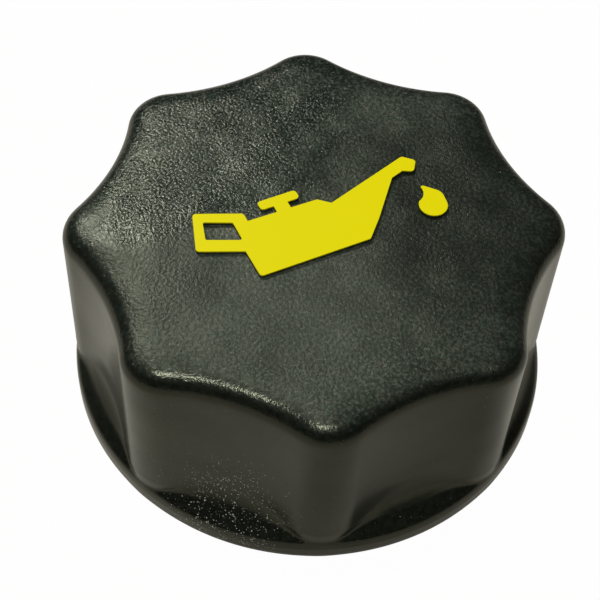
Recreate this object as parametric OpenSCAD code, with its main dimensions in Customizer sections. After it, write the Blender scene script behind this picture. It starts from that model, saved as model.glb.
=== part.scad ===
// Oil filler cap: a lobed hand grip, a bayonet plug clipped into it, a sealing ring,
// and a raised oil can with its drop, both faced in yellow.
// The sealing plane is z = 0, the cap's axis is Z and the grip's face looks up.
// The barrel sets every other radius, from the sealing ring out to the rim.

/* [Grip outline] */
// Number of lobes round the grip
lobes = 8; // [7:1:10]
// Depth of each flute below the lobes, at the top of the side wall
flute_depth = 3.6; // [3:0.1:4.2]
// Radius of each lobe's nose
lobe_r = 6.2; // [5.5:0.1:7]
// Draft of the side wall in degrees
draft = 0.5; // [0.2:0.1:0.6]
// Rounding between the side wall and the top face
edge_r = 3; // [2:0.1:3.5]

/* [Grip heights] */
// Height of the grip from its rim to its top face
grip_h = 30; // [28:0.5:36]
// How far the rim reaches below the sealing plane
rim_drop = 6; // [5.5:0.5:6.5]
// Thickness of the top plate
top_t = 3; // [2.2:0.1:4]
// Wall of the lobed shell
wall = 2.8; // [2.2:0.1:3.2]

/* [Rim skirt] */
// How far the round rim stands out past the lobes
rim_ledge = 0.4; // [0.3:0.1:2]
// Height of the upright band of the rim
rim_band_h = 3.5; // [2:0.1:4]
// Height that the hollow sweep climbs above the band
cove_h = 4.7; // [4:0.1:6]
// Radius of the hollow sweep between the rim and the flutes
cove_r = 9; // [8:0.1:14]
// Wall of the rim and of the sweep above it
rim_wall = 2.8; // [2.2:0.1:3.2]
// Chamfer on the rim's lower edge
rim_chamfer = 0.4; // [0.2:0.1:0.6]

/* [Ribs and clip ring] */
// Thickness of each radial rib
rib_t = 1.6; // [1.2:0.1:2]
// Wall of the clip ring
clip_wall = 1.8; // [1.4:0.1:2.2]
// Number of slits that part the clip ring into fingers
clip_slits = 4; // [3:1:6]
// Width of each slit
clip_slit_w = 1.6; // [1:0.1:2.5]
// Depth of the clip fingers below the sealing plane
clip_reach = 4; // [3:0.1:6]
// How far each hook stands out from its finger
hook_out = 0.8; // [0.5:0.1:0.9]
// Height of the hook
hook_h = 2.5; // [2:0.1:3]

/* [Bayonet plug] */
// Outer diameter of the barrel
barrel_d = 34.4; // [32:0.1:38]
// Wall of the barrel
barrel_wall = 2.4; // [2:0.1:2.5]
// Step by which the pilot nose is smaller than the barrel, on the radius
nose_inset = 0.4; // [0.3:0.1:0.9]
// Length of the pilot nose
nose_l = 6.6; // [5:0.1:9]
// Height from the top of the nose to the underside of the lugs
nose_step_h = 0.5; // [0.3:0.1:1]
// Chamfer at the nose's end
nose_chamfer = 1.2; // [0.6:0.1:1.8]
// Length of the plug below the sealing plane
plug_drop = 20; // [19:0.1:22]
// Thickness of the plug's floor
floor_t = 2.4; // [2:0.1:3]
// Diameter of the gate dimple in the floor
gate_d = 4; // [2:0.5:6]
// Depth of the gate dimple
gate_depth = 0.4; // [0.2:0.1:0.6]
// Thickness of the flange
flange_t = 3; // [2.5:0.1:4]
// Step from the barrel out to the keyed collar on the flange
collar_inset = 1.2; // [0.8:0.1:2]
// Wall of the keyed collar
collar_wall = 2; // [1.5:0.1:2.5]
// Height of the keyed collar
collar_h = 3.5; // [2:0.1:5]

/* [Bayonet lugs] */
// Number of bayonet lugs
lugs = 2; // [2:1:3]
// How far each lug stands out from the barrel
lug_reach = 4.6; // [3.5:0.1:5.5]
// Arc of each lug in degrees
lug_arc = 50; // [40:1:60]
// Thickness of each lug
lug_t = 4.5; // [3.5:0.1:5.5]
// Chamfer on the lug's lower edge
lug_chamfer = 0.5; // [0.3:0.1:1]
// Slope of the lug's upper face in degrees
lug_slope = 3; // [2:0.5:5]
// Lead-in slope at the lug's front end in degrees
lead_slope = 14; // [8:1:16]
// Arc of the stop at the lug's rear end in degrees
stop_arc = 8; // [6:1:12]
// Height of the stop above the lug
stop_h = 3.2; // [2:0.1:3.5]

/* [Sealing ring] */
// Width of the flange's edge outside the sealing ring's seat
seat_edge = 2; // [1:0.1:3]
// Width of the sealing ring from its bore to its edge
seal_w = 7.2; // [5:0.1:9]
// Thickness of the sealing ring
seal_t = 2.5; // [2:0.1:3.5]
// Depth of the ring's seat in the flange
seal_seat = 1; // [0.6:0.1:1.4]
// Chamfer on the ring's upper edges
seal_chamfer = 0.3; // [0.1:0.1:0.5]

/* [Raised oil can] */
// Length of the can from its handle to its spout
can_length = 33.7; // [28:0.1:38]
// Turn of the can on the face in degrees
can_turn = 22.5; // [0:0.5:45]
// Rounding of the can's corners
can_round = 0.5; // [0.2:0.05:0.6]
// Height of the raised can and drop
relief_h = 0.45; // [0.2:0.05:0.8]
// Thickness of the yellow facing
facing_t = 0.1; // [0.05:0.01:0.2]

/* [Clearances] */
// Radial play of the flange inside the shell's flutes
flange_play = 0.6; // [0.3:0.1:1]
// Play at each side of a rib in the collar's slots
key_play = 0.15; // [0.05:0.05:0.3]
// Radial play of the clip ring in the barrel
clip_play = 0.2; // [0.15:0.05:0.4]
// Play above each hook in its groove
hook_play = 0.1; // [0.05:0.05:0.3]
// Radial play between the sealing ring and what it sits in
seal_play = 0.1; // [0.05:0.05:0.3]

/* [Hidden] */
$fn = 120;

// Depth by which joined shapes sink into each other and cuts run past a face
over = 0.5;

// Facets along a lobe's nose, a flute, the rounded top edge and the figures' corners
NOSE_STEPS = 10;
FLUTE_STEPS = 8;
EDGE_STEPS = 6;
FIGURE_FN = 36;

// Heights above the sealing plane
rim_z = -rim_drop;
top_z = rim_z + grip_h;
edge_z = top_z - edge_r;
ceiling_z = top_z - top_t;
flange_z = seal_t - seal_seat;
flange_top_z = flange_z + flange_t;
nose_z = nose_l - plug_drop;

// Radii from the clip ring out to the flutes
barrel_r = barrel_d / 2;
nose_r = barrel_r - nose_inset;
lug_r = barrel_r + lug_reach;
barrel_bore_r = barrel_r - barrel_wall;
clip_r = barrel_bore_r - clip_play;
clip_bore_r = clip_r - clip_wall;
hook_r = clip_r + hook_out;
groove_r = hook_r + clip_play;
collar_in_r = barrel_r + collar_inset;
collar_r = collar_in_r + collar_wall;
seal_bore_r = barrel_r + seal_play;
seal_r = seal_bore_r + seal_w;
seat_r = seal_r + seal_play;
flange_r = seat_r + seat_edge;
flute_valley = flange_r + flange_play + wall;
rib_out_r = flute_valley - wall / 2;

// Heights of the hooks and the lugs
hook_top_z = hook_h - clip_reach;
lug_low_z = nose_z + nose_step_h;
lug_top_z = lug_low_z + lug_t;

// Lobed outline: a nose arc about each lobe's axis, a hollow arc about each flute's axis
pitch = 360 / lobes;
lobe_tip = flute_valley + flute_depth;
lobe_axis = lobe_tip - lobe_r;
lobe_reach = lobe_axis * cos(pitch / 2);
flute_r = (lobe_r ^ 2 - lobe_axis ^ 2 - flute_valley ^ 2 + 2 * lobe_reach * flute_valley)
    / (2 * (flute_valley - lobe_reach - lobe_r));
flute_axis = flute_valley + flute_r;
flute_side = flute_axis * sin(pitch / 2);
lobe_half_arc = atan2(flute_side, flute_axis * cos(pitch / 2) - lobe_axis);
flute_half_arc = lobe_half_arc - pitch / 2;

// Rim and the sweep above it
rim_r = lobe_tip + rim_ledge;
rim_bore_r = rim_r - rim_wall;
band_z = rim_z + rim_band_h;
cove_z = band_z + cove_h;
cove_run = rim_r - flute_valley;
cove_chord = norm([cove_run, cove_h]);
cove_back = sqrt(cove_r ^ 2 - (cove_chord / 2) ^ 2);
cove_x = rim_r - cove_run / 2 + cove_back * cove_h / cove_chord;
cove_y = band_z + cove_h / 2 + cove_back * cove_run / cove_chord;

// Corners of the oil can on its own grid, about one millimetre to the unit
CAN = [
    [-10.95, -6.2], [4.75, -6.2], [7.45, -3.4], [12.25, 2.2], [14.15, 2.8], [15.55, 2.1],
    [16.75, 3.8], [15.25, 5.2], [11.65, 4.1], [2.75, 1.4], [1.25, 2.7], [-2.55, 2.8],
    [-2.55, 3.9], [-0.75, 3.9], [-0.75, 5.4], [-6.35, 5.4], [-6.35, 3.9], [-4.55, 3.9],
    [-4.55, 2.8], [-8.75, 2.9], [-8.75, 4.3], [-14.95, 6.9], [-16.95, 0.8], [-11.05, -1.7],
];
HANDLE_GAP = [[-14.25, 5], [-10.65, 3.4], [-10.65, 0.2], [-15.05, 2.1]];
CAN_REACH = [for (corner = CAN) corner[0]];
can_unit = can_length / (max(CAN_REACH) - min(CAN_REACH));

// The drop: a round bulb, a shoulder and a tip, hollowed on the spout's side
DROP_BULB = [15.1, -4.25];
DROP_BULB_R = 1.95;
DROP_SHOULDER = [15.75, -3.1];
DROP_SHOULDER_R = 1.45;
DROP_TIP = [15.3, -0.95];
DROP_TIP_R = 0.3;
DROP_HOLLOW = [13.15, -1.1];
DROP_HOLLOW_R = 1.9;

// Point at an angle and distance from an axis that stands axis_r out from the centre
function about_axis(turn, axis_r, angle, r) =
    [axis_r * cos(turn) + r * cos(turn + angle), axis_r * sin(turn) + r * sin(turn + angle)];

// Nose of one lobe, then the hollow of the flute that follows it
function lobe_and_flute(i, inset) = concat(
    [for (k = [0 : NOSE_STEPS - 1]) about_axis(
        i * pitch, lobe_axis, lobe_half_arc * (2 * k / NOSE_STEPS - 1), lobe_r - inset)],
    [for (k = [0 : FLUTE_STEPS - 1]) about_axis(
        (i + 0.5) * pitch, flute_axis, 180 + flute_half_arc * (1 - 2 * k / FLUTE_STEPS),
        flute_r + inset)]
);

// Outline that lies the inset inside the grip's own
function outline(inset) = [for (i = [0 : lobes - 1]) each lobe_and_flute(i, inset)];

// Solid skinned over rings, each a height and an inset, and closed from a point at each end
module skinned(rings) {
    n = len(outline(0));
    last = len(rings) - 1;
    hubs = [[0, 0, rings[0][0]], [0, 0, rings[last][0]]];
    skin = [for (ring = rings) each [for (p = outline(ring[1])) [p[0], p[1], ring[0]]]];
    sides = [for (j = [0 : last - 1]) each [for (i = [0 : n - 1]) let (next = (i + 1) % n)
        [j * n + i, (j + 1) * n + i, (j + 1) * n + next, j * n + next]]];
    low_cap = [for (i = [0 : n - 1]) [len(skin), i, (i + 1) % n]];
    top_cap = [for (i = [0 : n - 1]) [len(skin) + 1, last * n + (i + 1) % n, last * n + i]];
    polyhedron(points = concat(skin, hubs), faces = concat(sides, low_cap, top_cap));
}

// Lobed outside with its draft and its rounded top edge
module lobed_body() {
    low_z = rim_z + rim_band_h / 2;
    skinned(concat(
        [[low_z, -tan(draft) * (edge_z - low_z)]],
        [for (k = [0 : EDGE_STEPS]) let (a = 90 * k / EDGE_STEPS)
            [edge_z + edge_r * sin(a), edge_r * (1 - cos(a))]]
    ));
}

// Round rim that sweeps up into the flutes
module rim_skirt() {
    rotate_extrude() difference() {
        polygon([
            [0, rim_z], [rim_r - rim_chamfer, rim_z], [rim_r, rim_z + rim_chamfer],
            [rim_r, cove_z + over], [0, cove_z + over],
        ]);
        translate([cove_x, cove_y]) circle(cove_r);
    }
}

// Open space inside the rim, which follows the sweep at the rim's wall below it
module rim_bore() {
    rotate_extrude() difference() {
        translate([0, rim_z - over]) square([rim_bore_r, cove_z - rim_z + over]);
        translate([cove_x, cove_y]) circle(cove_r + rim_wall);
    }
}

// Ribs from the clip ring to the flutes, which stand on the flange and key into its collar
module ribs() {
    rib_in_r = clip_bore_r + clip_wall / 2;
    for (i = [0 : lobes - 1])
        rotate([0, 0, (i + 0.5) * pitch]) translate([rib_in_r, -rib_t / 2, flange_top_z])
            cube([rib_out_r - rib_in_r, rib_t, ceiling_z + over - flange_top_z]);
}

// Ring of spring fingers with a hook at each end
module clip_ring() {
    difference() {
        rotate_extrude() polygon([
            [clip_bore_r, -clip_reach], [clip_r, -clip_reach], [hook_r, hook_top_z - hook_out],
            [hook_r, hook_top_z], [clip_r, hook_top_z], [clip_r, ceiling_z + over],
            [clip_bore_r, ceiling_z + over],
        ]);
        for (i = [0 : clip_slits - 1])
            rotate([0, 0, i * 360 / clip_slits])
                translate([0, -clip_slit_w / 2, -clip_reach - over])
                    cube([groove_r, clip_slit_w, clip_reach + over + flange_top_z]);
    }
}

// Flat shape with each outer corner rounded
module rounded(r) {
    offset(r = r, $fn = FIGURE_FN) offset(delta = -r) children();
}

module can_outline() {
    scale(can_unit) difference() {
        rounded(can_round) polygon(CAN);
        rounded(can_round / 2) polygon(HANDLE_GAP);
    }
}

module drop_outline() {
    scale(can_unit) difference() {
        hull($fn = FIGURE_FN) {
            translate(DROP_BULB) circle(DROP_BULB_R);
            translate(DROP_SHOULDER) circle(DROP_SHOULDER_R);
            translate(DROP_TIP) circle(DROP_TIP_R);
        }
        translate(DROP_HOLLOW) circle(DROP_HOLLOW_R);
    }
}

// Raised figures, sunk into the plate so that they are one with it
module relief() {
    translate([0, 0, top_z - over]) rotate([0, 0, can_turn])
        linear_extrude(relief_h + over) {
            can_outline();
            drop_outline();
        }
}

// Yellow facing of one figure
module facing() {
    translate([0, 0, top_z + relief_h]) rotate([0, 0, can_turn])
        linear_extrude(facing_t) children();
}

module grip() {
    color([0.12, 0.13, 0.11]) {
        difference() {
            union() {
                lobed_body();
                rim_skirt();
            }
            translate([0, 0, rim_z - over]) linear_extrude(ceiling_z - rim_z + over)
                polygon(outline(wall));
            rim_bore();
        }
        ribs();
        clip_ring();
        relief();
    }
}

// One bayonet lug with its sloping upper face, a lead-in and a stop
module lug() {
    rear_y = lug_r * sin(lug_arc / 2);
    lead_z = lug_top_z - rear_y * tan(lug_slope);
    front_z = lead_z - rear_y * tan(lead_slope);
    intersection() {
        rotate([0, 0, -lug_arc / 2]) rotate_extrude(angle = lug_arc) polygon([
            [barrel_r - over, lug_low_z], [lug_r - lug_chamfer, lug_low_z],
            [lug_r, lug_low_z + lug_chamfer], [lug_r, lug_top_z], [barrel_r - over, lug_top_z],
        ]);
        rotate([90, 0, 90]) linear_extrude(lug_r + over) polygon([
            [-rear_y, lug_low_z - over], [rear_y + over, lug_low_z - over],
            [rear_y + over, lug_top_z], [0, lead_z], [-rear_y, front_z],
        ]);
    }
    rotate([0, 0, lug_arc / 2 - stop_arc / 2]) rotate_extrude(angle = stop_arc)
        translate([barrel_r - over, lug_low_z + lug_t / 2])
            square([lug_r - lug_chamfer - barrel_r + over, lug_t / 2 + stop_h]);
}

// Barrel, nose and floor as one cup, open upwards
module cup() {
    difference() {
        rotate_extrude() polygon([
            [0, -plug_drop], [nose_r - nose_chamfer, -plug_drop],
            [nose_r, nose_chamfer - plug_drop], [nose_r, nose_z], [barrel_r, nose_z],
            [barrel_r, flange_top_z], [0, flange_top_z],
        ]);
        rotate_extrude() polygon([
            [0, floor_t - plug_drop], [barrel_bore_r, floor_t - plug_drop],
            [barrel_bore_r, -clip_reach - hook_out], [groove_r, -clip_reach],
            [groove_r, hook_top_z + hook_play], [barrel_bore_r, hook_top_z + hook_play],
            [barrel_bore_r, flange_top_z - hook_out], [groove_r, flange_top_z + over],
            [0, flange_top_z + over],
        ]);
        translate([0, 0, -plug_drop - over]) cylinder(d = gate_d, h = gate_depth + over);
    }
}

// Flange with the sealing ring's seat below and the keyed collar above
module flange() {
    collar_top_z = flange_top_z + collar_h;
    slot_w = rib_t + 2 * key_play;
    difference() {
        rotate_extrude() {
            polygon([
                [barrel_r - over, seal_t], [seat_r, seal_t],
                [seat_r, flange_z], [flange_r, flange_z],
                [flange_r, flange_top_z], [barrel_r - over, flange_top_z],
            ]);
            translate([collar_in_r, flange_top_z - over])
                square([collar_wall, collar_h + over]);
        }
        for (i = [0 : lobes - 1])
            rotate([0, 0, (i + 0.5) * pitch]) translate([barrel_r, -slot_w / 2, flange_top_z])
                cube([collar_r - barrel_r + over, slot_w, collar_top_z + over]);
    }
}

module bayonet_plug() {
    color([0.08, 0.08, 0.08]) {
        cup();
        flange();
        for (i = [0 : lugs - 1]) rotate([0, 0, i * 360 / lugs]) lug();
    }
}

module sealing_ring() {
    color([0.05, 0.05, 0.05]) rotate_extrude() polygon([
        [seal_bore_r, 0], [seal_r, 0], [seal_r, seal_t - seal_chamfer],
        [seal_r - seal_chamfer, seal_t], [seal_bore_r + seal_chamfer, seal_t],
        [seal_bore_r, seal_t - seal_chamfer],
    ]);
}

module oil_can_mark() {
    color([0.87, 0.82, 0.08]) facing() can_outline();
}

module oil_drop_mark() {
    color([0.87, 0.82, 0.08]) facing() drop_outline();
}

grip();
bayonet_plug();
sealing_ring();
oil_can_mark();
oil_drop_mark();
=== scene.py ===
# %% [markdown]
# # An oil filler cap
# The cap closes the filler of an engine. A hand turns it by its eight lobes, and the raised
# yellow oil can on its face says what goes in. This lesson takes the cap's exact solids and
# gives them their looks: the grained face, the smooth sides, the soft moulded edges.
# All lengths are in metres, so a helper turns millimetres into them.

# %% Load the solids
import math

import bpy
from mathutils import Matrix, Vector


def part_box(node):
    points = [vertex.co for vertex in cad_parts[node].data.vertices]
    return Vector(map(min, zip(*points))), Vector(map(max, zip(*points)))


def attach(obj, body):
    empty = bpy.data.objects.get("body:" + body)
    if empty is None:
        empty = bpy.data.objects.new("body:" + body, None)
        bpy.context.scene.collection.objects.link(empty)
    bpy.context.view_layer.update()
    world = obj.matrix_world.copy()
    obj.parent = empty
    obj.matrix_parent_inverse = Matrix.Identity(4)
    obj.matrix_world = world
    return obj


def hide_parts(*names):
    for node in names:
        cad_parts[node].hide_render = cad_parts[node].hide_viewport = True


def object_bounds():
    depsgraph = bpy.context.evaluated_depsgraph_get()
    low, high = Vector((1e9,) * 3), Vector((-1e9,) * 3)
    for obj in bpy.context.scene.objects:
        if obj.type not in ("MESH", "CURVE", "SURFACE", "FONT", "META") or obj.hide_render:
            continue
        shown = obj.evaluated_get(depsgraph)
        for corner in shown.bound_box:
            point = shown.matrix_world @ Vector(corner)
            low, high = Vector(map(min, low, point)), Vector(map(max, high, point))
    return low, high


MM = 0.001

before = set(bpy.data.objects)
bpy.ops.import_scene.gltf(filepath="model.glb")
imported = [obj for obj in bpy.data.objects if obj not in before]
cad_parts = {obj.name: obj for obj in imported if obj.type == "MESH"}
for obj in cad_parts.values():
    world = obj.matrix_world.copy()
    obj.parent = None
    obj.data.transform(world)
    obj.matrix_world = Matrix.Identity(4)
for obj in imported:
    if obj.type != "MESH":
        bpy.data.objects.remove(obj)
cad_box = [list(corner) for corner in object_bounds()]
print("solids:", ", ".join(sorted(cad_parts)))
print("box in mm:", [[round(v / MM, 2) for v in corner] for corner in cad_box])

# %% [markdown]
# ## The camera
# The photograph looks down on the cap at a little over 50 degrees, from close by, with the
# camera slightly rolled. Close by means that the near lobes look larger than the far ones,
# so the distance matters as much as the angle. The camera is built from three directions:
# back towards the photographer, right and up, with the roll turned into the last two.

# %% Place the camera
AZIMUTH = math.radians(-5.584)
ELEVATION = math.radians(52.604)
ROLL = math.radians(3.595)
DISTANCE = 188.98 * MM
SENSOR, FRAME_PX, FOCAL_PX = 36, 600, 1342.61
LENS = SENSOR * FOCAL_PX / FRAME_PX
AIM_RIGHT, AIM_UP, AIM_HEIGHT = -1.7035 * MM, -1.5964 * MM, 9 * MM

back = Vector((math.sin(AZIMUTH) * math.cos(ELEVATION),
               -math.cos(AZIMUTH) * math.cos(ELEVATION), math.sin(ELEVATION)))
level = Vector((math.cos(AZIMUTH), math.sin(AZIMUTH), 0))
rise = back.cross(level)
right = math.cos(ROLL) * level + math.sin(ROLL) * rise
up = math.cos(ROLL) * rise - math.sin(ROLL) * level
aim = Vector((0, 0, AIM_HEIGHT)) + AIM_RIGHT * right + AIM_UP * up

lens = bpy.data.cameras.new("camera")
lens.sensor_width = SENSOR
lens.lens = LENS
lens.clip_start = 0.01
camera = bpy.data.objects.new("camera", lens)
turned = Matrix((right, up, back)).transposed().to_4x4()
camera.matrix_world = Matrix.Translation(aim + DISTANCE * back) @ turned
bpy.context.scene.collection.objects.link(camera)
bpy.context.scene.camera = camera
print("camera stands", round(DISTANCE / MM), "mm away, lens", round(LENS, 1), "mm")

# %% [markdown]
# ## The outline of the grip
# Seen from above, eight round noses stand between eight hollow flutes, and each nose runs
# into its flutes without a corner. Both are arcs, so a few lines of geometry find the flute's
# radius from the nose's, and then give points along them. An inset moves the whole outline
# inwards, as the draft, the rounded top edge and the wall do. Points are closer together on
# the noses, where the outline turns fastest.

# %% Points of the outline
LOBES, NOSE_STEPS, FLUTE_STEPS = 8, 18, 22
NOSE_R, TIP_R, VALLEY_R = 6.2, 33.6, 30
PITCH = 2 * math.pi / LOBES
NOSE_AXIS = TIP_R - NOSE_R
REACH = NOSE_AXIS * math.cos(PITCH / 2)
FLUTE_R = ((NOSE_R ** 2 - NOSE_AXIS ** 2 - VALLEY_R ** 2 + 2 * REACH * VALLEY_R)
           / (2 * (VALLEY_R - REACH - NOSE_R)))
FLUTE_AXIS = VALLEY_R + FLUTE_R
NOSE_ARC = math.atan2(FLUTE_AXIS * math.sin(PITCH / 2),
                      FLUTE_AXIS * math.cos(PITCH / 2) - NOSE_AXIS)
FLUTE_ARC = NOSE_ARC - PITCH / 2


def about(turn, axis_r, angle, r):
    """Point at an angle and distance from an axis that stands out from the centre."""
    return (axis_r * math.cos(turn) + r * math.cos(turn + angle),
            axis_r * math.sin(turn) + r * math.sin(turn + angle))


def outline(inset):
    """Points in mm of the outline, moved in by the inset."""
    points = []
    for lobe in range(LOBES):
        for k in range(NOSE_STEPS):
            points.append(about(lobe * PITCH, NOSE_AXIS, NOSE_ARC * (2 * k / NOSE_STEPS - 1),
                                NOSE_R - inset))
        for k in range(FLUTE_STEPS):
            points.append(about((lobe + 0.5) * PITCH, FLUTE_AXIS,
                                math.pi + FLUTE_ARC * (1 - 2 * k / FLUTE_STEPS), FLUTE_R + inset))
    return points


print("flute radius", round(FLUTE_R, 1), "mm,", len(outline(0)), "points round the grip")

# %% [markdown]
# ## How the rim meets the flutes
# The rim is round, and a hollow sweep carries it up into each flute. Where the two surfaces
# meet, the mould was cut with a small ball, so there is a fillet and no sharp line: that is
# what gives each flute a soft dark crescent at its foot. A smooth maximum of two radii makes
# the same fillet: far apart it is just the larger one, and near each other it rounds the
# corner between them.

# %% Radius of the sweep at each height
TOP_Z, EDGE_H, CEILING_Z, RIM_Z, RIM_R, WALL = 24, 3, 21, -6, 34, 2.8
EDGE_Z = TOP_Z - EDGE_H
# The sweep runs from the top of the rim's band, at the rim's radius, to its upper end,
# where it meets the deepest line of a flute
COVE_R, BAND_Z, COVE_Z = 9, -2.5, 2.2
DRAFT = math.tan(math.radians(0.5))
chord = math.hypot(RIM_R - VALLEY_R, COVE_Z - BAND_Z)
stand = math.sqrt(COVE_R ** 2 - chord ** 2 / 4)
COVE_X = (RIM_R + VALLEY_R) / 2 + stand * (COVE_Z - BAND_Z) / chord
COVE_Y = (BAND_Z + COVE_Z) / 2 + stand * (RIM_R - VALLEY_R) / chord


def larger(a, b, blend):
    """The larger of two radii, with the corner between them rounded."""
    return (a + b + math.hypot(a - b, blend)) / 2


def smaller(a, b, blend):
    """The smaller of two radii, with the corner between them rounded."""
    return (a + b - math.hypot(a - b, blend)) / 2


def sweep(z, r):
    """Radius at a height of a circle about the sweep's axis, which leans in above it."""
    drop = COVE_Y - z
    if drop < 0:
        return COVE_X - r + drop
    return COVE_X - math.sqrt(max(r * r - drop * drop, 0))


print("sweep's axis at", round(COVE_X, 2), round(COVE_Y, 2), "mm")

# %% [markdown]
# ## Rings of a lofted shell
# The outside and the hollow inside are both stacks of closed rings. Each starts as a circle
# primitive that is extruded upwards once for each ring, as by hand, and closed at both ends.
# The points of a ring are then pushed to their place, which no operator can do for an
# outline that changes with height.

# %% Build a stack of rings
def stack(name, rings):
    """Extrude a circle ring by ring, close it, and push each ring's points to their place."""
    count = len(rings[0])
    bpy.ops.object.select_all(action="DESELECT")
    bpy.ops.mesh.primitive_circle_add(vertices=count, radius=RIM_R * MM)
    made = bpy.context.object
    made.name = name
    bpy.ops.object.mode_set(mode="EDIT")
    bpy.ops.mesh.select_all(action="SELECT")
    bpy.ops.mesh.edge_face_add()
    for _ in rings[1:]:
        bpy.ops.mesh.extrude_region_move(TRANSFORM_OT_translate={"value": (0, 0, MM)})
    bpy.ops.object.mode_set(mode="OBJECT")
    flat = [c * MM for ring in rings for point in ring for c in point]
    made.data.vertices.foreach_set("co", flat)
    bpy.ops.object.mode_set(mode="EDIT")
    bpy.ops.mesh.select_all(action="SELECT")
    bpy.ops.mesh.normals_make_consistent(inside=False)
    bpy.ops.object.mode_set(mode="OBJECT")
    made.data.transform(made.matrix_world)
    made.matrix_world = Matrix.Identity(4)
    print(name, len(rings), "rings,", len(made.data.polygons), "faces")
    return made

# %% [markdown]
# ## Outside and inside of the shell
# The outside climbs from the rim, leans in by half a degree so that the grip leaves its
# mould, and rolls over a small edge into the flat face. The roll is tight on the outside and
# eases off in a wide arc, which gives the face its broad dark border and the soft highlight
# beside it. The inside follows at the wall's thickness. The plastic stays even, because a
# thick spot would shrink and leave a dent in the face. A tool that cuts or joins reaches a
# little past the surface, by its bite, because a boolean works badly on faces that coincide.

# %% Loft the outside
def ring(z, inset, skirt, blend):
    """One ring at a height: the lobed outline, or the round skirt where that is larger."""
    points = []
    for x, y in outline(inset):
        r = math.hypot(x, y)
        grown = larger(r, skirt, blend) / r if skirt else 1
        points.append((x * grown, y * grown, z))
    return points


def steps(low, high, count):
    """Even steps from one value to another, with both ends."""
    return [low + (high - low) * k / count for k in range(count + 1)]


# Height above the rim's lower edge, and inset, of the rings that soften that edge
RIM_EDGE = ((0, 0.45), (0.1, 0.2))
RIM_START, RIM_ROUND, SHARP = 0.4, 0.7, 0.01
# The band is plain up to the first height, and the flutes are plain above the second
PLAIN_BELOW, PLAIN_ABOVE = -3.6, 4
# The fillet starts at a quarter of its size and is full this far above the band
FILLET, FILLET_START, FILLET_RISE = 0.9, 0.25, 2
ROLL_R, EASE_R, EASE = 2.7, 12, math.radians(15)
FLAT_IN = 0.5

rings = [ring(RIM_Z + rise, 0, RIM_R - inset, SHARP) for rise, inset in RIM_EDGE]
band = steps(RIM_Z + RIM_START, PLAIN_BELOW, 4)[:-1]
foot = steps(PLAIN_BELOW, PLAIN_ABOVE, 38)
for z in band + foot + steps(PLAIN_ABOVE, EDGE_Z, 14)[1:]:
    lean = (EDGE_Z - z) * DRAFT
    skirt = smaller(RIM_R, sweep(z, COVE_R), RIM_ROUND) if z > PLAIN_BELOW else RIM_R
    share = min(max((z - BAND_Z) / FILLET_RISE, FILLET_START), 1)
    rings.append(ring(z, -lean, skirt, FILLET * share))
for turn in steps(0, math.pi / 2 - EASE, 11)[1:]:
    rings.append(ring(EDGE_Z + ROLL_R * math.sin(turn), ROLL_R * (1 - math.cos(turn)), 0, 0))
EASE_IN = ROLL_R * (1 - math.sin(EASE)) + EASE_R * math.sin(EASE)
for lean in steps(EASE, 0, 8)[1:]:
    rings.append(ring(TOP_Z - EASE_R * (1 - math.cos(lean)), EASE_IN - EASE_R * math.sin(lean),
                      0, 0))
rings.append(ring(TOP_Z, EASE_IN + FLAT_IN, 0, 0))
grip = stack("grip_moulding", rings)

# %% Loft the hollow
# Heights between which the hollow's wall follows the sweep
HOLLOW_FOOT, HOLLOW_NECK = -4, 3
BITE, CORNER_R, HOLLOW_ROUND = 0.5, 0.8, 0.1
BORE_R = RIM_R - WALL
CORNER_Z = CEILING_Z - CORNER_R

rings = []
below = steps(RIM_Z - BITE, HOLLOW_FOOT, 2)[:-1]
foot = steps(HOLLOW_FOOT, HOLLOW_NECK, 20)
for z in below + foot + steps(HOLLOW_NECK, CORNER_Z, 4)[1:]:
    bore = min(BORE_R, sweep(z, COVE_R + WALL)) if z > HOLLOW_FOOT else BORE_R
    rings.append(ring(z, WALL, bore, HOLLOW_ROUND))
for turn in steps(0, math.pi / 2, 4)[1:]:
    rings.append(ring(CORNER_Z + CORNER_R * math.sin(turn),
                      WALL + CORNER_R * (1 - math.cos(turn)), 0, 0))
hollow = stack("hollow", rings)

# %% [markdown]
# ## Cutting and joining
# A boolean takes the hollow out of the shell, and later ones add the ribs, the clip ring and
# the raised figures, so the moulding ends as one closed skin.

# %% A helper for booleans
def combine(body, tool, operation):
    """Cut, join or trim one mesh by another, and remove the tool."""
    bpy.ops.object.select_all(action="DESELECT")
    bpy.context.view_layer.objects.active = body
    body.select_set(True)
    step = body.modifiers.new(operation.lower(), "BOOLEAN")
    step.operation = operation
    step.solver = "EXACT"
    step.object = tool
    bpy.ops.object.modifier_apply(modifier=step.name)
    bpy.data.objects.remove(tool)
    print(body.name, operation.lower(), len(body.data.polygons), "faces")


combine(grip, hollow, "DIFFERENCE")

# %% [markdown]
# ## Ribs and the clip ring
# Eight ribs tie the top plate to the wall and key into the plug, so that the turning force
# goes straight to the lugs. A ring of spring fingers in the middle snaps into the plug. A
# rib is a cube stretched to size, and the ring is a profile that is spun round.

# %% Ribs
RIB_IN, RIB_OUT, RIB_T, RIB_FOOT = 13.7, 28.6, 1.6, 4.5


def block(name, low, high, turn):
    """A box between two corners in mm, turned about the cap's axis."""
    size = [b - a for a, b in zip(low, high)]
    middle = [(a + b) / 2 * MM for a, b in zip(low, high)]
    bpy.ops.object.select_all(action="DESELECT")
    bpy.ops.mesh.primitive_cube_add(size=MM)
    made = bpy.context.object
    made.name = name
    made.data.transform(Matrix.Rotation(turn, 4, "Z") @ Matrix.Translation(middle)
                        @ Matrix.Diagonal((*size, 1)))
    return made


for k in range(LOBES):
    combine(grip, block("rib", (RIB_IN, -RIB_T / 2, RIB_FOOT),
                        (RIB_OUT, RIB_T / 2, CEILING_Z + BITE), (k + 0.5) * PITCH), "UNION")

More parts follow.
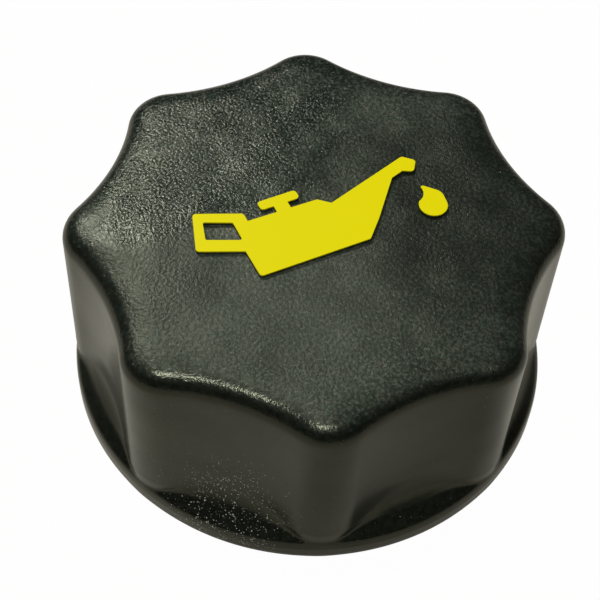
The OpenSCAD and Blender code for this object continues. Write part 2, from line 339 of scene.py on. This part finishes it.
# %% Clip ring
def spun(name, profile, segments):
    """Spin a closed profile of radii and heights in mm once round the axis."""
    bpy.ops.object.select_all(action="DESELECT")
    bpy.ops.mesh.primitive_circle_add(vertices=len(profile), fill_type="NOTHING")
    made = bpy.context.object
    made.name = name
    for vertex, (r, z) in zip(made.data.vertices, profile):
        vertex.co = (r * MM, 0, z * MM)
    bpy.ops.object.mode_set(mode="EDIT")
    bpy.ops.mesh.select_all(action="SELECT")
    bpy.ops.mesh.spin(steps=segments, angle=2 * math.pi, center=(0, 0, 0), axis=(0, 0, 1))
    bpy.ops.mesh.select_all(action="SELECT")
    bpy.ops.mesh.remove_doubles(threshold=0.001 * MM)
    bpy.ops.mesh.delete_loose(use_verts=True, use_edges=True, use_faces=False)
    bpy.ops.mesh.select_all(action="SELECT")
    bpy.ops.mesh.normals_make_consistent(inside=False)
    bpy.ops.object.mode_set(mode="OBJECT")
    print(name, len(made.data.polygons), "faces")
    return made


CLIP_IN, CLIP_OUT, HOOK_R, SLIT_T = 12.8, 14.6, 15.4, 1.6
CLIP_LOW, HOOK_LOW, HOOK_TOP = -4, -2.3, -1.5

clip = spun("clip_ring", [(CLIP_IN, CLIP_LOW), (CLIP_OUT, CLIP_LOW), (HOOK_R, HOOK_LOW),
                          (HOOK_R, HOOK_TOP), (CLIP_OUT, HOOK_TOP),
                          (CLIP_OUT, CEILING_Z + BITE), (CLIP_IN, CEILING_Z + BITE)], 96)
for k in range(2):
    combine(clip, block("slit", (-HOOK_R - BITE, -SLIT_T / 2, CLIP_LOW - 1),
                        (HOOK_R + BITE, SLIT_T / 2, RIB_FOOT), k * math.pi / 2), "DIFFERENCE")
combine(grip, clip, "UNION")

# %% [markdown]
# ## The raised oil can
# The can and its drop stand out of the face in the same plastic, and only their tops are
# yellow. A copy of the two thin facings has their exact outline. Its lower side is pushed
# down into the face to make the raised figures, and a second copy with softened upper edges
# becomes the foil itself, because the hot stamp wraps the foil a little over each edge.

# %% Raised figures and foil
FOIL_LOW, FOIL_TOP, FOIL_EDGE = 24.3, 24.55, 0.13


def figure(node, name, low, high):
    """A merged copy of a facing, stretched between two heights."""
    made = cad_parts[node].copy()
    made.data = made.data.copy()
    made.parent = None
    made.name = name
    for key in list(made.keys()):
        del made[key]
    bpy.context.scene.collection.objects.link(made)
    bottom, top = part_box(node)[0].z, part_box(node)[1].z
    for vertex in made.data.vertices:
        vertex.co.z = (low if vertex.co.z < (bottom + top) / 2 else high) * MM
    bpy.ops.object.select_all(action="DESELECT")
    made.select_set(True)
    bpy.context.view_layer.objects.active = made
    bpy.ops.object.mode_set(mode="EDIT")
    bpy.ops.mesh.select_all(action="SELECT")
    bpy.ops.mesh.remove_doubles(threshold=0.002 * MM)
    bpy.ops.mesh.dissolve_limited(angle_limit=math.radians(1))
    bpy.ops.object.mode_set(mode="OBJECT")
    return made


def soften(made, width, angle):
    """Round a mesh's sharp edges with a bevel."""
    bpy.ops.object.select_all(action="DESELECT")
    made.select_set(True)
    bpy.context.view_layer.objects.active = made
    edge = made.modifiers.new("soft edge", "BEVEL")
    edge.width = width * MM
    edge.segments = 3
    edge.limit_method = "ANGLE"
    edge.angle_limit = math.radians(angle)
    bpy.ops.object.modifier_apply(modifier=edge.name)


foils = []
for node, name in (("oil_can_mark", "oil_can_foil"), ("oil_drop_mark", "oil_drop_foil")):
    combine(grip, figure(node, "raised", TOP_Z - BITE, FOIL_LOW), "UNION")
    foil = figure(node, name, FOIL_LOW, FOIL_TOP)
    soften(foil, FOIL_EDGE, 60)
    foils.append(foil)
    print(name, len(foil.data.polygons), "faces")

# %% [markdown]
# ## The bayonet plug
# The plug is turned in shape: a cup with a closed floor, a flange with a seat for the seal,
# and a collar, so one profile spun round gives nearly all of it. Each corner of the profile
# has a small radius, as every edge of a moulding has. The collar's slots and the two lugs
# break the round form and are cut and added afterwards.

# %% A profile with soft corners
def softened(corners, steps_round=3):
    """Round each corner (r, z, radius) of a closed profile with a short arc."""
    soft = []
    for k, (r, z, size) in enumerate(corners):
        here = Vector((r, z))
        if size == 0:
            soft.append((r, z))
            continue
        before = (Vector(corners[k - 1][:2]) - here).normalized()
        after = (Vector(corners[(k + 1) % len(corners)][:2]) - here).normalized()
        for j in range(steps_round + 1):
            t = j / steps_round
            point = here + size * ((1 - t) ** 2 * before + t ** 2 * after)
            soft.append((point.x, point.y))
    return soft


# %% Turn the plug
DIMPLE_R, PILOT_R, BARREL_R, SEAT_R, FLANGE_R = 2, 16.8, 17.2, 24.6, 26.6
COLLAR_IN, COLLAR_OUT, CUP_R, GROOVE_R = 18.4, 20.4, 14.8, 15.6
PLUG_LOW, DIMPLE_Z, CUP_FLOOR, PILOT_TOP, PILOT_SLOPE = -20, -19.6, -17.6, -13.4, 1.2
GROOVE_LOW, GROOVE_TOP, LIP_Z, SEAT_Z, FLANGE_TOP, COLLAR_TOP = -4, -1.4, 1.5, 2.5, 4.5, 8
TURN_STEPS = 160

nose = [(0, DIMPLE_Z, 0), (DIMPLE_R, DIMPLE_Z, 0.1), (DIMPLE_R, PLUG_LOW, 0.15),
        (PILOT_R - PILOT_SLOPE, PLUG_LOW, 0.3), (PILOT_R, PLUG_LOW + PILOT_SLOPE, 0.3),
        (PILOT_R, PILOT_TOP, 0.1), (BARREL_R, PILOT_TOP, 0.15)]
flange = [(BARREL_R, SEAT_Z, 0.2), (SEAT_R, SEAT_Z, 0.2), (SEAT_R, LIP_Z, 0.25),
          (FLANGE_R, LIP_Z, 0.4), (FLANGE_R, FLANGE_TOP, 0.4)]
collar = [(COLLAR_OUT, FLANGE_TOP, 0.3), (COLLAR_OUT, COLLAR_TOP, 0.3),
          (COLLAR_IN, COLLAR_TOP, 0.3), (COLLAR_IN, FLANGE_TOP, 0.3)]
# The mouth is bevelled, and the groove for the hooks has a sloping lower side
cup = [(CUP_R + 0.5, FLANGE_TOP, 0.2), (CUP_R, FLANGE_TOP - 0.8, 0.1),
       (CUP_R, GROOVE_TOP, 0.1), (GROOVE_R, GROOVE_TOP, 0.1), (GROOVE_R, GROOVE_LOW, 0.1),
       (CUP_R, GROOVE_LOW - 0.8, 0.2), (CUP_R, CUP_FLOOR, 0.4), (0, CUP_FLOOR, 0)]
plug = spun("plug_moulding", softened(nose + flange + collar + cup), TURN_STEPS)

# %% Slots for the ribs, and the lugs
KEY_GAP = 0.15
SLOT_T = RIB_T + 2 * KEY_GAP
for k in range(LOBES):
    combine(plug, block("slot", (BARREL_R, -SLOT_T / 2, FLANGE_TOP),
                        (COLLAR_OUT + 0.6, SLOT_T / 2, COLLAR_TOP + 1), (k + 0.5) * PITCH),
            "DIFFERENCE")

LUG_IN, LUG_R, LUG_LOW, LUG_TOP, LUG_ARC = 16.6, 21.8, -12.9, -8.4, math.radians(50)
LUG_SLOPE, LEAD_SLOPE, LUG_BEVEL = math.radians(3), math.radians(14), 0.5
STOP_IN, STOP_R, STOP_LOW, STOP_TOP, STOP_ARC = 16.7, 21.3, -10.6, -5.2, math.radians(8)
LUG_SOFT = 0.25
REAR = LUG_R * math.sin(LUG_ARC / 2)


def sector(name, profile, start, arc, segments):
    """Spin a filled profile through part of a turn. The operator turns clockwise, so the
    arc is negative."""
    bpy.ops.object.select_all(action="DESELECT")
    bpy.ops.mesh.primitive_circle_add(vertices=len(profile), fill_type="NGON")
    made = bpy.context.object
    made.name = name
    for vertex, (r, z) in zip(made.data.vertices, profile):
        vertex.co = (r * MM * math.cos(start), r * MM * math.sin(start), z * MM)
    bpy.ops.object.mode_set(mode="EDIT")
    bpy.ops.mesh.select_all(action="SELECT")
    bpy.ops.mesh.spin(steps=segments, angle=-arc, center=(0, 0, 0), axis=(0, 0, 1))
    bpy.ops.mesh.select_all(action="SELECT")
    bpy.ops.mesh.normals_make_consistent(inside=False)
    bpy.ops.object.mode_set(mode="OBJECT")
    return made


def lug_top(y):
    """Height of the lug's upper face: a lead-in, then a gentle slope up to the stop."""
    lead = LUG_TOP - REAR * math.tan(LUG_SLOPE)
    return lead + (y * math.tan(LUG_SLOPE) if y > 0 else y * math.tan(LEAD_SLOPE))


for half in range(2):
    lug = sector("lug", [(LUG_IN, LUG_LOW), (LUG_R - LUG_BEVEL, LUG_LOW),
                         (LUG_R, LUG_LOW + LUG_BEVEL), (LUG_R, LUG_TOP), (LUG_IN, LUG_TOP)],
                 -LUG_ARC / 2, LUG_ARC, 24)
    for vertex in lug.data.vertices:
        if vertex.co.z > (LUG_TOP - 0.1) * MM:
            vertex.co.z = lug_top(vertex.co.y / MM) * MM
    stop = sector("stop", [(STOP_IN, STOP_LOW), (STOP_R, STOP_LOW), (STOP_R, STOP_TOP),
                           (STOP_IN, STOP_TOP)], LUG_ARC / 2 - STOP_ARC / 2, STOP_ARC, 6)
    for made in (lug, stop):
        soften(made, LUG_SOFT, 40)
        made.data.transform(Matrix.Rotation(half * math.pi, 4, "Z"))
        combine(plug, made, "UNION")

# %% [markdown]
# ## The sealing ring
# The seal is a flat ring of rubber, pressed in a two-part mould. Its edges are soft, and a
# hair of flash runs round its outer side where the two halves met.

# %% Sealing ring
SEAL_IN, SEAL_OUT, FLASH_Z, FLASH = 17.3, 24.5, 0.75, 0.05
seal = spun("seal_moulding", softened([
    (SEAL_IN, 0, 0.25), (SEAL_OUT, 0, 0.25), (SEAL_OUT, FLASH_Z - FLASH, 0),
    (SEAL_OUT + FLASH, FLASH_Z, 0), (SEAL_OUT, FLASH_Z + FLASH, 0), (SEAL_OUT, SEAT_Z, 0.3),
    (SEAL_IN, SEAT_Z, 0.3)]), TURN_STEPS)

# %% [markdown]
# ## Smooth shading and riding
# Round surfaces are shaded smooth and real edges stay crisp. Level faces are shaded flat,
# because a smooth flat face would borrow a tilt from its neighbours. Each piece then stands
# for its solid and rides on the only body.

# %% Smooth the pieces and let them ride
LEVEL = 0.99999
PIECES = {"grip_moulding": (grip, "grip", "grip_nylon"),
          "plug_moulding": (plug, "bayonet_plug", "plug_nylon"),
          "seal_moulding": (seal, "sealing_ring", "seal_rubber"),
          "oil_can_foil": (foils[0], "oil_can_mark", "yellow_facing"),
          "oil_drop_foil": (foils[1], "oil_drop_mark", "yellow_facing")}
for name, (piece, node, slot) in PIECES.items():
    bpy.ops.object.select_all(action="DESELECT")
    piece.select_set(True)
    bpy.context.view_layer.objects.active = piece
    bpy.ops.object.shade_smooth_by_angle(angle=math.radians(32))
    for face in piece.data.polygons:
        if abs(face.normal.z) > LEVEL:
            face.use_smooth = False
    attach(piece, "root")
    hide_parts(node)
    print(name, "stands for", node)

# %% [markdown]
# ## Helpers for materials
# A material is a small network of nodes. One function adds a node, sets its values and
# joins its inputs. Colours are written as they look on a screen, in hex, and a second
# function turns them into the linear values that light works with.

# %% Helpers for materials
def linear(code):
    """Turn an sRGB hex colour into linear red, green, blue and full opacity."""
    parts = [int(code[i:i + 2], 16) / 255 for i in (1, 3, 5)]
    return [p / 12.92 if p < 0.04045 else ((p + 0.055) / 1.055) ** 2.4 for p in parts] + [1]


def add(tree, kind, values=None, links=None, **settings):
    """Add a node with its settings, its input values and its incoming links."""
    made = tree.nodes.new("ShaderNode" + kind)
    for name, value in settings.items():
        setattr(made, name, value)
    for name, value in (values or {}).items():
        made.inputs[name].default_value = value
    for name, source in (links or {}).items():
        tree.links.new(source, made.inputs[name])
    return made


def new_material(name):
    """Start an empty material and hand back it and its tree."""
    made = bpy.data.materials.new(name)
    made.use_nodes = True
    made.node_tree.nodes.clear()
    return made, made.node_tree


def per_metre(size_mm):
    """Scale that makes one cell of a pattern as large as the size on the real piece."""
    return 1 / (size_mm * MM)


print("white is", linear("#FFFFFF")[:3])

# %% [markdown]
# ## Glass-filled nylon
# The grip is moulded in black glass-filled nylon. Its face was cut by sparks in the steel of
# the mould, which leaves a fine grain that catches light as pale grit. The sides left the
# mould against polished steel, so they are smoother and shine more. Both finishes are made
# from noise patterns whose cells have a real size, and a few helpers stretch and blend them.

# %% Patterns for the nylon
# Real spark grain can be finer. This one is as coarse as it needs to be to show
GRAIN_MM, WORN_MM, GRIT_MM, CLOUD_MM, SINK_MM = 0.42, 0.5, 0.42, 8, 10
TINT_MM, SWIRL_MM, CHALK_AND_HIGHLIGHT_MM, FLECK_MM = 1.2, 0.8, 0.35, 0.25


def spread(tree, source, low, high, to_low=0, to_high=1):
    """Stretch part of a pattern's range to new limits, and hold it at both ends."""
    return add(tree, "MapRange", {"From Min": low, "From Max": high, "To Min": to_low,
                                  "To Max": to_high}, {"Value": source}).outputs["Result"]


def noise(tree, place, size_mm, detail=3, rough=0.6):
    """A noise pattern with cells of a real size."""
    return add(tree, "TexNoise", {"Scale": per_metre(size_mm), "Detail": detail,
                                  "Roughness": rough}, {"Vector": place}).outputs["Fac"]


def mixed(tree, share, first, second):
    """Blend two colours, each a hex code or a link, by a share."""
    made = add(tree, "MixRGB", links={"Fac": share})
    for socket, colour in (("Color1", first), ("Color2", second)):
        if isinstance(colour, str):
            made.inputs[socket].default_value = linear(colour)
        else:
            tree.links.new(colour, made.inputs[socket])
    return made.outputs["Color"]


def times(tree, first, second):
    """The product of two patterns, which is strong only where both are."""
    return add(tree, "Math", links={0: first, 1: second}, operation="MULTIPLY").outputs[0]


def most(tree, first, second):
    """The larger of two patterns."""
    return add(tree, "Math", links={0: first, 1: second}, operation="MAXIMUM").outputs[0]


print("grain", GRAIN_MM, "mm, worn grain", WORN_MM, "mm")

# %% [markdown]
# ## Marks of use and painted light
# Use has changed the finish in places, and other patches paint light and shade into the
# colour. Each patch has a middle and a reach on the real piece, and a cloudy noise makes its
# border ragged:
# - at the back left, and on the nose at the left, the grain is still crisp and glitters, and
#   elsewhere it is worn dull;
# - the same nose has painted glints of near white, and a painted pale sheen lies in front of
#   the oil can;
# - the right, and a spot in front of the can's handle, are glossier and darkened by painted
#   shade;
# - dust has settled at the foot of the front left flute, and chalks the left flank;
# - the right flank has a painted highlight of the same pale mottle;
# - the front left edge is rubbed to a shine.

# %% Patches of use and of painted light
RAGGED = 12 * MM
# Each patch has its middle, its reach and the width of its border, all in mm
# Some patches paint light into the colour: glints on the left nose, a sheen in front of the can,
# shade on the right and by the handle, and a highlight on the right flank
PATCHES = {"crisp_back": ((-20, 22, 24), 18, 12), "crisp_nose": ((-25, 0, 24), 2, 5),
           "painted_glints": ((-26, -2, 24), 0, 4), "painted_sheen": ((-4, -13, 24), 6, 12),
           "shade_gloss_right": ((26, 0, 24), 12, 16), "shade_gloss_handle": ((-20, -9, 24), 3, 7),
           "rubbed_edge": ((-12, -27, 24), 9, 10), "dust": ((-13, -30, 0), 5, 9),
           "chalk_left": ((-28, -13, 11), 7, 12), "painted_highlight_right": ((31, -5, 12), 0, 12)}


def near(tree, place, cloud, patch):
    """A pattern that is 1 inside a patch's reach, and 0 past its ragged border."""
    middle, reach, border = PATCHES[patch]
    away = add(tree, "VectorMath", {1: Vector(middle) * MM}, {0: place}, operation="DISTANCE")
    ragged = add(tree, "Math", {1: RAGGED}, {0: cloud, 2: away.outputs["Value"]},
                 operation="MULTIPLY_ADD").outputs[0]
    inner = reach * MM + RAGGED / 2
    return spread(tree, ragged, inner + border * MM, inner)


print(len(PATCHES), "patches:", ", ".join(PATCHES))

# %% [markdown]
# ## Colours of the grip
# The face is green-black with paler peaks of grain, and the marks of use, the painted glints,
# sheen and shade lie over it one by one. The sides are a plainer black with a trace of chalk and
# a painted highlight on the right flank. Flecks of dust come last, so they lie on everything.

# %% Colours of the nylon
CHALK_AND_HIGHLIGHT_LOW, CHALK_AND_HIGHLIGHT_HIGH = (3 * MM, 9 * MM), (20.5 * MM, 15 * MM)


def face_colour(tree, place, cloud, grain, shade_and_gloss, marks_and_light):
    """The grained face: dark pits, paler peaks with grit, marks of use, painted glints and sheen,
    and painted shade.
    """
    tint = noise(tree, place, TINT_MM, 2)
    pits = mixed(tree, spread(tree, cloud, 0.42, 0.6), "#171C17", "#222923")
    peaks = mixed(tree, spread(tree, tint, 0.42, 0.58), "#324136", "#484A3F")
    peaks = mixed(tree, spread(tree, cloud, 0.58, 0.42), peaks, "#27322A")
    colour = mixed(tree, spread(tree, grain, 0.45, 0.6), pits, peaks)
    grit = spread(tree, noise(tree, place, GRIT_MM, 2), 0.56, 0.7)
    # The grit fades where the shade is painted
    grit = times(tree, spread(tree, shade_and_gloss, 0, 1, 1, 0.2), grit)
    colour = mixed(tree, grit, colour, "#535C53")
    # Painted glints: near-white dots on the grain peaks of the left nose
    glints = times(tree, marks_and_light["painted_glints"], spread(tree, grain, 0.57, 0.64))
    colour = mixed(tree, glints, colour, "#D8DACC")
    # Painted sheen: a pale patch on the face in front of the oil can
    colour = mixed(tree, spread(tree, marks_and_light["painted_sheen"], 0, 1, 0, 0.22), colour, "#5B6056")
    # Painted shade: the right and a spot in front of the can's handle are darkened
    return mixed(tree, spread(tree, shade_and_gloss, 0, 1, 0, 0.5), colour, "#0C100D")


def side_colour(tree, place, height, marks_and_light):
    """The smooth sides: near black, with faint swirls of the filler, a trace of chalk on the left
    flank and a painted highlight on the right flank.
    """
    swirl = noise(tree, place, SWIRL_MM, 3, 0.7)
    colour = mixed(tree, spread(tree, swirl, 0.35, 0.65), "#0F110E", "#1C1F19")
    # Chalk on the left flank, and a painted highlight of the same pale mottle on the right flank
    chalk_and_highlight = most(tree, marks_and_light["chalk_left"], marks_and_light["painted_highlight_right"])
    for limits in (CHALK_AND_HIGHLIGHT_LOW, CHALK_AND_HIGHLIGHT_HIGH):
        chalk_and_highlight = times(tree, chalk_and_highlight, spread(tree, height, *limits))
    grain = noise(tree, place, CHALK_AND_HIGHLIGHT_MM, 3, 0.7)
    chalk_and_highlight = times(tree, chalk_and_highlight, spread(tree, grain, 0.35, 0.75))
    return mixed(tree, chalk_and_highlight, colour, "#56564C")


def dusted(tree, place, colour, settled):
    """Pale flecks, scarce in general and dense where dust has settled."""
    fleck = noise(tree, place, FLECK_MM, 1)
    least = spread(tree, settled, 0, 1, 0.78, 0.655)
    dust = add(tree, "Math", links={0: fleck, 1: least}, operation="SUBTRACT").outputs[0]
    return mixed(tree, spread(tree, dust, 0, 0.06), colour, "#C2C4BC")


print("chalk lies between", CHALK_AND_HIGHLIGHT_LOW[0] / MM, "and", CHALK_AND_HIGHLIGHT_HIGH[0] / MM, "mm")

# %% [markdown]
# ## Relief of the grip
# The grain isn't modelled, because it is far too fine for a mesh. A bump tilts the light on
# the surface instead. A slow, shallow waviness over it stands for the sink marks that a thick
# plate gets as it cools.

# %% Relief of the nylon
GRAIN_DEPTH, SINK_DEPTH = 0.12 * MM, 0.6 * MM
GRAIN_LOW, FACE_LOW, FACE_HIGH = 21.5 * MM, 22.9 * MM, 23.95 * MM


def nylon_relief(tree, place, height, face, grain, crisp):
    """The bump: the face's grain, which fades out down the edge, on slow sink marks."""
    edge = spread(tree, height, GRAIN_LOW, FACE_HIGH)
    depth = times(tree, edge, spread(tree, crisp, 0, 1, 0.75, 1))
    fine = add(tree, "Bump", {"Distance": GRAIN_DEPTH},
               {"Height": grain, "Strength": spread(tree, depth, 0, 1, 0.12, 1)})
    slow = add(tree, "Bump", {"Distance": SINK_DEPTH},
               {"Height": noise(tree, place, SINK_MM, 1), "Normal": fine.outputs["Normal"],
                "Strength": spread(tree, face, 0, 1, 0.3, 1)})
    return slow.outputs["Normal"]


print("grain", GRAIN_DEPTH / MM, "mm deep, sink marks", SINK_DEPTH / MM, "mm")

# %% [markdown]
# ## The grip's material
# The height on the piece decides which finish shows: the grained face, the smooth sides, or
# the edge between them, where the grain fades out. Crisp grain, the patches of painted shade
# and rubbing make the surface glossier, and wear makes it dull.

# %% Glass-filled nylon of the grip
RUBBED_LOW, RUBBED_HIGH, RUBBED_SHARE = 23.5 * MM, 23.75 * MM, 0.6
CRISP_ROUGH, WORN_ROUGH, SIDE_ROUGH, SHADE_GLOSS = 0.12, 0.44, 0.24, 0.25
NYLON_IOR, SHINE, SHEEN = 1.53, 0.35, (0.96, 1, 0.72, 1)


def grip_nylon():
    """Glass-filled nylon with a sparked face and polished sides, marked by use."""
    made, tree = new_material("glass_filled_nylon_sparked_face")
    place = add(tree, "TexCoord").outputs["Object"]
    height = add(tree, "SeparateXYZ", links={"Vector": place}).outputs["Z"]
    face = spread(tree, height, FACE_LOW, FACE_HIGH)
    cloud = noise(tree, place, CLOUD_MM, 4, 0.65)
    marks_and_light = {patch: near(tree, place, cloud, patch) for patch in PATCHES}
    # Painted shade on the right and by the handle, where the surface is also glossier
    shade_and_gloss = most(tree, marks_and_light["shade_gloss_right"], marks_and_light["shade_gloss_handle"])
    rubbed = times(tree, marks_and_light["rubbed_edge"],
                   spread(tree, height, RUBBED_HIGH, RUBBED_LOW, 0, RUBBED_SHARE))
    crisp = most(tree, most(tree, marks_and_light["crisp_back"], rubbed), marks_and_light["crisp_nose"])
    grain = add(tree, "Mix", links={0: crisp, 2: noise(tree, place, WORN_MM, 2),
                                    3: noise(tree, place, GRAIN_MM, 2, 0.7)}).outputs[0]
    colour = mixed(tree, face, side_colour(tree, place, height, marks_and_light),
                   face_colour(tree, place, cloud, grain, shade_and_gloss, marks_and_light))
    glossy = most(tree, crisp, spread(tree, shade_and_gloss, 0, 1, 0, SHADE_GLOSS))
    rough = add(tree, "Mix", {2: SIDE_ROUGH},
                {0: face, 3: spread(tree, glossy, 0, 1, WORN_ROUGH, CRISP_ROUGH)}).outputs[0]
    shader = add(tree, "BsdfPrincipled", {"IOR": NYLON_IOR, "Specular IOR Level": SHINE,
                                          "Specular Tint": SHEEN},
                 {"Base Color": dusted(tree, place, colour, marks_and_light["dust"]), "Roughness": rough,
                  "Normal": nylon_relief(tree, place, height, face, grain, crisp)})
    add(tree, "OutputMaterial", links={"Surface": shader.outputs[0]})
    return made


GRIP = grip_nylon()
print("made", GRIP.name)

# %% [markdown]
# ## Plain nylon, rubber and yellow foil
# The plug is the same family of plastic from a plain satin mould. The sealing ring is black
# nitrile rubber, dull because its skin scatters light. The yellow is a hot-stamped foil: a
# smooth colour film pressed on the raised figures, with a slight shine.

# %% Plug, seal and foil
def plain_finish(name, code, rough, ior, grain_mm, depth_mm):
    """A one-colour finish with a fine unevenness of its own."""
    made, tree = new_material(name)
    place = add(tree, "TexCoord").outputs["Object"]
    grain = noise(tree, place, grain_mm)
    bump = add(tree, "Bump", {"Distance": depth_mm * MM, "Strength": 0.5}, {"Height": grain})
    shader = add(tree, "BsdfPrincipled", {"IOR": ior, "Base Color": linear(code)},
                 {"Roughness": spread(tree, grain, 0.3, 0.7, rough - 0.06, rough + 0.06),
                  "Normal": bump.outputs["Normal"]})
    add(tree, "OutputMaterial", links={"Surface": shader.outputs[0]})
    return made


PLUG = plain_finish("satin_moulded_nylon", "#1D1D1E", 0.42, NYLON_IOR, 0.8, 0.01)
RUBBER = plain_finish("moulded_nitrile_rubber", "#161616", 0.7, 1.52, 0.5, 0.02)
FOIL = plain_finish("hot_stamped_yellow_foil", "#F0E405", 0.42, 1.5, 1.5, 0.01)
# The foil's gloss is faint and tinted by its own yellow, so the lamps leave no white on it
pigment = FOIL.node_tree.nodes["Principled BSDF"]
pigment.inputs["Specular IOR Level"].default_value = 0.15
pigment.inputs["Specular Tint"].default_value = (1, 0.95, 0.3, 1)
print("made", PLUG.name, RUBBER.name, FOIL.name)

# %% Put the finishes on the pieces
FINISH = {"grip": GRIP, "bayonet_plug": PLUG, "sealing_ring": RUBBER,
          "oil_can_mark": FOIL, "oil_drop_mark": FOIL}
for piece, node, _ in PIECES.values():
    for shape in (piece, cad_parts[node]):
        shape.data.materials.clear()
        shape.data.materials.append(FINISH[node])
print("finished", len(PIECES), "pieces")

# %% [markdown]
# ## Floor and light
# The cap stands on a pale floor, which shines back from its walls. One soft lamp hangs
# behind and to the left, where the face mirrors it towards the camera, so the grain at the
# back glitters. The other hangs nearly overhead and lights the face and the near edge. Both
# are small, so that the edges keep their dark bands, and the room itself is almost dark. The
# camera sees the floor and the room as white, while the cap still gets their true light.

# %% Floor
FLOOR_SIZE, SEEN_WHITE = 12, 0.985
bpy.ops.object.select_all(action="DESELECT")
bpy.ops.mesh.primitive_plane_add(size=FLOOR_SIZE, location=(0, 0, cad_box[0][2]))
floor = bpy.context.object
floor.name = "floor"
paint, tree = new_material("matte_white_paint")
flat = add(tree, "BsdfDiffuse", {"Color": linear("#DCD8C9")})
glow = add(tree, "Emission", {"Color": linear("#FFFFFF"), "Strength": 1})
path = add(tree, "LightPath")
share = add(tree, "Math", {1: SEEN_WHITE}, {0: path.outputs["Is Camera Ray"]},
            operation="MULTIPLY")
both = add(tree, "MixShader", links={0: share.outputs[0], 1: flat.outputs[0],
                                     2: glow.outputs[0]})
add(tree, "OutputMaterial", links={"Surface": both.outputs[0]})
floor.data.materials.append(paint)
print("floor at", round(cad_box[0][2] / MM, 1), "mm")

# %% Lamps and world
def soft_lamp(name, azimuth, elevation, distance, size, power):
    """A square lamp that looks at the cap from an angle round it, counted from the front,
    and an angle above it."""
    a, e = math.radians(azimuth), math.radians(elevation)
    toward = Vector((math.sin(a) * math.cos(e), -math.cos(a) * math.cos(e), math.sin(e)))
    data = bpy.data.lights.new(name, "AREA")
    data.size = size
    data.energy = power
    made = bpy.data.objects.new(name, data)
    made.matrix_world = Matrix.Translation(toward * distance) @ toward.to_track_quat(
        "Z", "Y").to_matrix().to_4x4()
    made.visible_camera = False
    bpy.context.scene.collection.objects.link(made)


soft_lamp("lamp_behind", 202, 50, 1.2, 0.2, 5.4)
soft_lamp("lamp_above", -30, 75, 1.2, 0.15, 7.8)

ROOM_LIGHT = 0.03
world = bpy.data.worlds.new("room")
bpy.context.scene.world = world
world.use_nodes = True
tree = world.node_tree
tree.nodes.clear()
dim = add(tree, "Background", {"Color": linear("#FFFFFF"), "Strength": ROOM_LIGHT})
white = add(tree, "Background", {"Color": linear("#FFFFFF"), "Strength": 1})
path = add(tree, "LightPath")
both = add(tree, "MixShader", links={0: path.outputs["Is Camera Ray"], 1: dim.outputs[0],
                                     2: white.outputs[0]})
add(tree, "OutputWorld", links={"Surface": both.outputs[0]})
bpy.context.scene.view_settings.view_transform = "Standard"
